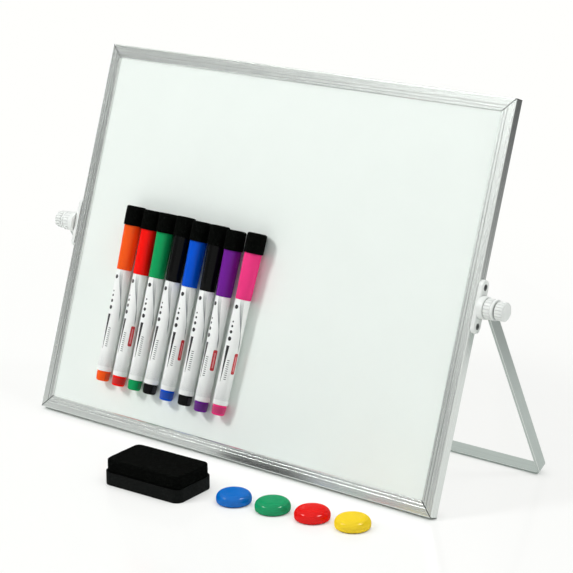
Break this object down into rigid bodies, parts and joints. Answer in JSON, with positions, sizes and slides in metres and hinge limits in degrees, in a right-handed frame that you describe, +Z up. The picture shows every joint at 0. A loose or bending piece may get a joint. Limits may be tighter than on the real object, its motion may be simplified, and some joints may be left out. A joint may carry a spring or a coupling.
{
  "type": "magnetic desk whiteboard easel",
  "caption": "Small framed magnetic whiteboard that swivels on a bent-bar desk stand, with capped markers, a felt eraser and button magnets.",
  "frame": {"origin": "on the desk, half way along the set and half way from its front to its back", "axes": "+Z up, +X along the board to the right as one reads it, the board faces -Y and leans back"},
  "size_m": [0.3998, 0.2048, 0.267],
  "materials": {
    "frame_aluminium": "extruded, brushed and clear anodised",
    "corner_key_plastic": "plain moulded nylon",
    "writing_sheet": "gloss white lacquer on steel sheet",
    "core_card": "honeycomb card, out of sight",
    "screw_dark": "black zinc",
    "pivot_white": "satin white moulding",
    "nut_brass": "turned",
    "stud_steel": "zinc plated",
    "stand_steel": "satin brushed",
    "barrel_white": "gloss white, printed",
    "felt_black": "pressed wool felt",
    "ink_orange": "gloss moulded orange",
    "ink_red": "gloss moulded red",
    "ink_green": "gloss moulded green",
    "ink_black": "gloss moulded black",
    "ink_blue": "gloss moulded blue",
    "ink_purple": "gloss moulded purple",
    "ink_pink": "gloss moulded pink",
    "eraser_foam": "dark speckled foam block",
    "magnet_blue": "gloss moulded blue",
    "magnet_ferrite": "matt grey-black ferrite",
    "magnet_green": "gloss moulded green",
    "magnet_red": "gloss moulded red",
    "magnet_yellow": "gloss moulded yellow"
  },
  "bodies": {
    "stand": {"stand_bar": "stand_steel", "pivot_collars": "pivot_white"},
    "board": {"frame_rail_bottom": "frame_aluminium", "frame_rail_top": "frame_aluminium", "frame_rail_left": "frame_aluminium", "frame_rail_right": "frame_aluminium", "corner_keys": "corner_key_plastic", "writing_sheet_front": "writing_sheet", "core_panel": "core_card", "writing_sheet_back": "writing_sheet", "bracket_screws": "screw_dark", "pivot_nuts": "nut_brass", "pivot_bracket_left": "pivot_white", "pivot_bracket_right": "pivot_white"},
    "knob_left": {"clamp_knob_left": "pivot_white", "knob_stud_left": "stud_steel"},
    "knob_right": {"clamp_knob_right": "pivot_white", "knob_stud_right": "stud_steel"},
    "marker_1": {"marker_1_barrel": "barrel_white", "marker_1_plug_and_nib": "ink_orange"},
    "cap_1": {"marker_1_cap": "ink_orange", "marker_1_felt": "felt_black"},
    "marker_2": {"marker_2_barrel": "barrel_white", "marker_2_plug_and_nib": "ink_red"},
    "cap_2": {"marker_2_cap": "ink_red", "marker_2_felt": "felt_black"},
    "marker_3": {"marker_3_barrel": "barrel_white", "marker_3_plug_and_nib": "ink_green"},
    "cap_3": {"marker_3_cap": "ink_green", "marker_3_felt": "felt_black"},
    "marker_4": {"marker_4_barrel": "barrel_white", "marker_4_plug_and_nib": "ink_black"},
    "cap_4": {"marker_4_cap": "ink_black", "marker_4_felt": "felt_black"},
    "marker_5": {"marker_5_barrel": "barrel_white", "marker_5_plug_and_nib": "ink_blue"},
    "cap_5": {"marker_5_cap": "ink_blue", "marker_5_felt": "felt_black"},
    "marker_6": {"marker_6_barrel": "barrel_white", "marker_6_plug_and_nib": "ink_black"},
    "cap_6": {"marker_6_cap": "ink_black", "marker_6_felt": "felt_black"},
    "marker_7": {"marker_7_barrel": "barrel_white", "marker_7_plug_and_nib": "ink_purple"},
    "cap_7": {"marker_7_cap": "ink_purple", "marker_7_felt": "felt_black"},
    "marker_8": {"marker_8_barrel": "barrel_white", "marker_8_plug_and_nib": "ink_pink"},
    "cap_8": {"marker_8_cap": "ink_pink", "marker_8_felt": "felt_black"},
    "eraser": {"eraser_handle": "eraser_foam", "eraser_felt": "felt_black"},
    "magnet_1": {"magnet_1_shell": "magnet_blue", "magnet_1_disc": "magnet_ferrite"},
    "magnet_2": {"magnet_2_shell": "magnet_green", "magnet_2_disc": "magnet_ferrite"},
    "magnet_3": {"magnet_3_shell": "magnet_red", "magnet_3_disc": "magnet_ferrite"},
    "magnet_4": {"magnet_4_shell": "magnet_yellow", "magnet_4_disc": "magnet_ferrite"}
  },
  "joints": [
    {"name": "board_swivel", "type": "hinge", "parent": "stand", "child": "board", "pos_m": [0, 0.02968, 0.13537], "axis": [1, 0, 0], "continuous": true},
    {"name": "knob_left_turn", "type": "hinge", "parent": "board", "child": "knob_left", "pos_m": [-0.1935, 0.02968, 0.13537], "axis": [-1, 0, 0], "range_deg": [0, 360]},
    {"name": "knob_right_turn", "type": "hinge", "parent": "board", "child": "knob_right", "pos_m": [0.1935, 0.02968, 0.13537], "axis": [1, 0, 0], "range_deg": [0, 360]},
    {"name": "marker_1_lift", "type": "slide", "parent": "board", "child": "marker_1", "axis": [0, -0.9455, 0.3256], "range_m": [0, 0.04]},
    {"name": "cap_1_pull", "type": "slide", "parent": "marker_1", "child": "cap_1", "axis": [0.0105, 0.3108, 0.9504], "range_m": [0, 0.042]},
    {"name": "marker_2_lift", "type": "slide", "parent": "board", "child": "marker_2", "axis": [0, -0.9455, 0.3256], "range_m": [0, 0.04]},
    {"name": "cap_2_pull", "type": "slide", "parent": "marker_2", "child": "cap_2", "axis": [0.0192, 0.3108, 0.9503], "range_m": [0, 0.042]},
    {"name": "marker_3_lift", "type": "slide", "parent": "board", "child": "marker_3", "axis": [0, -0.9455, 0.3256], "range_m": [0, 0.04]},
    {"name": "cap_3_pull", "type": "slide", "parent": "marker_3", "child": "cap_3", "axis": [0.014, 0.3108, 0.9504], "range_m": [0, 0.042]},
    {"name": "marker_4_lift", "type": "slide", "parent": "board", "child": "marker_4", "axis": [0, -0.9455, 0.3256], "range_m": [0, 0.04]},
    {"name": "cap_4_pull", "type": "slide", "parent": "marker_4", "child": "cap_4", "axis": [0.0297, 0.3107, 0.95], "range_m": [0, 0.042]},
    {"name": "marker_5_lift", "type": "slide", "parent": "board", "child": "marker_5", "axis": [0, -0.9455, 0.3256], "range_m": [0, 0.04]},
    {"name": "cap_5_pull", "type": "slide", "parent": "marker_5", "child": "cap_5", "axis": [0.0209, 0.3108, 0.9503], "range_m": [0, 0.042]},
    {"name": "marker_6_lift", "type": "slide", "parent": "board", "child": "marker_6", "axis": [0, -0.9455, 0.3256], "range_m": [0, 0.04]},
    {"name": "cap_6_pull", "type": "slide", "parent": "marker_6", "child": "cap_6", "axis": [0.0157, 0.3108, 0.9503], "range_m": [0, 0.042]},
    {"name": "marker_7_lift", "type": "slide", "parent": "board", "child": "marker_7", "axis": [0, -0.9455, 0.3256], "range_m": [0, 0.04]},
    {"name": "cap_7_pull", "type": "slide", "parent": "marker_7", "child": "cap_7", "axis": [0.0157, 0.3108, 0.9503], "range_m": [0, 0.042]},
    {"name": "marker_8_lift", "type": "slide", "parent": "board", "child": "marker_8", "axis": [0, -0.9455, 0.3256], "range_m": [0, 0.04]},
    {"name": "cap_8_pull", "type": "slide", "parent": "marker_8", "child": "cap_8", "axis": [0.0332, 0.3107, 0.9499], "range_m": [0, 0.042]},
    {"name": "eraser_lift", "type": "slide", "parent": "stand", "child": "eraser", "axis": [0, 0, 1], "range_m": [0, 0.03]},
    {"name": "magnet_1_lift", "type": "slide", "parent": "stand", "child": "magnet_1", "axis": [0, 0, 1], "range_m": [0, 0.03]},
    {"name": "magnet_2_lift", "type": "slide", "parent": "stand", "child": "magnet_2", "axis": [0, 0, 1], "range_m": [0, 0.03]},
    {"name": "magnet_3_lift", "type": "slide", "parent": "stand", "child": "magnet_3", "axis": [0, 0, 1], "range_m": [0, 0.03]},
    {"name": "magnet_4_lift", "type": "slide", "parent": "stand", "child": "magnet_4", "axis": [0, 0, 1], "range_m": [0, 0.03]}
  ]
}
